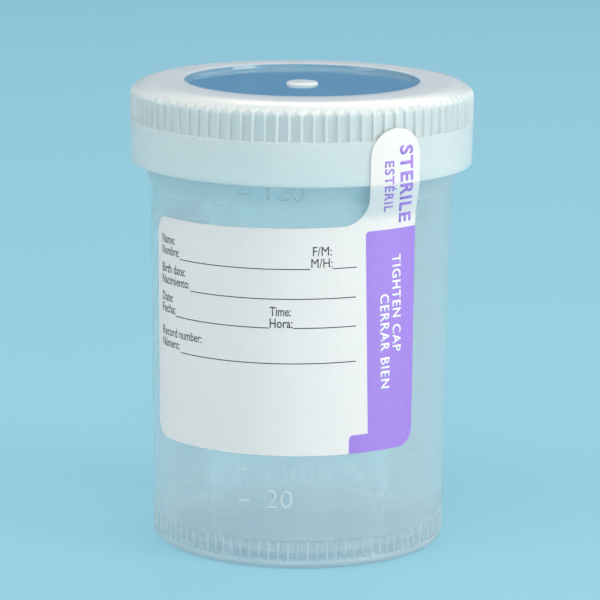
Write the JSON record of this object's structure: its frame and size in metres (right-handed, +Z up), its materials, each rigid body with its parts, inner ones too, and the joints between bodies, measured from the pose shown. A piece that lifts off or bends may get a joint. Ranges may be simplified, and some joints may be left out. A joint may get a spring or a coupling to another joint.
{
  "type": "urine specimen cup",
  "caption": "Round tapered clear cup with a multi-start screw cap, ribbed grip, loose sealing disc, wrap-round label and a tear-off seal tab.",
  "frame": {"origin": "centre of the ring that the cup stands on", "axes": "+Z up along the cup's axis, -Y towards the front of the label, +X to the right of the label"},
  "size_m": [0.06, 0.06, 0.0815],
  "materials": {
    "clear_polypropylene": "clear, very slightly milky moulded polypropylene",
    "natural_polyethylene": "unpigmented frosted translucent polyethylene, polished only in the round recess",
    "liner_foam": "white closed-cell foam",
    "label_paper": "white label film with black and violet print"
  },
  "bodies": {
    "cup_body": {"cup": "clear_polypropylene", "label_panel": "label_paper"},
    "seal_disc": {"liner": "liner_foam"},
    "cap_body": {"cap": "natural_polyethylene", "seal_tab": "label_paper"}
  },
  "joints": [
    {"name": "cap_lift", "type": "slide", "parent": "cup_body", "child": "seal_disc", "axis": [0, 0, 1], "range_m": [0, 0.01651]},
    {"name": "cap_turn", "type": "hinge", "parent": "seal_disc", "child": "cap_body", "pos_m": [0, 0, 0.0795], "axis": [0, 0, 1], "range_deg": [0, 660]}
  ],
  "couplings": [
    {"joint": "cap_lift", "follows": "cap_turn", "m_per_rad": 0.0014324}
  ]
}
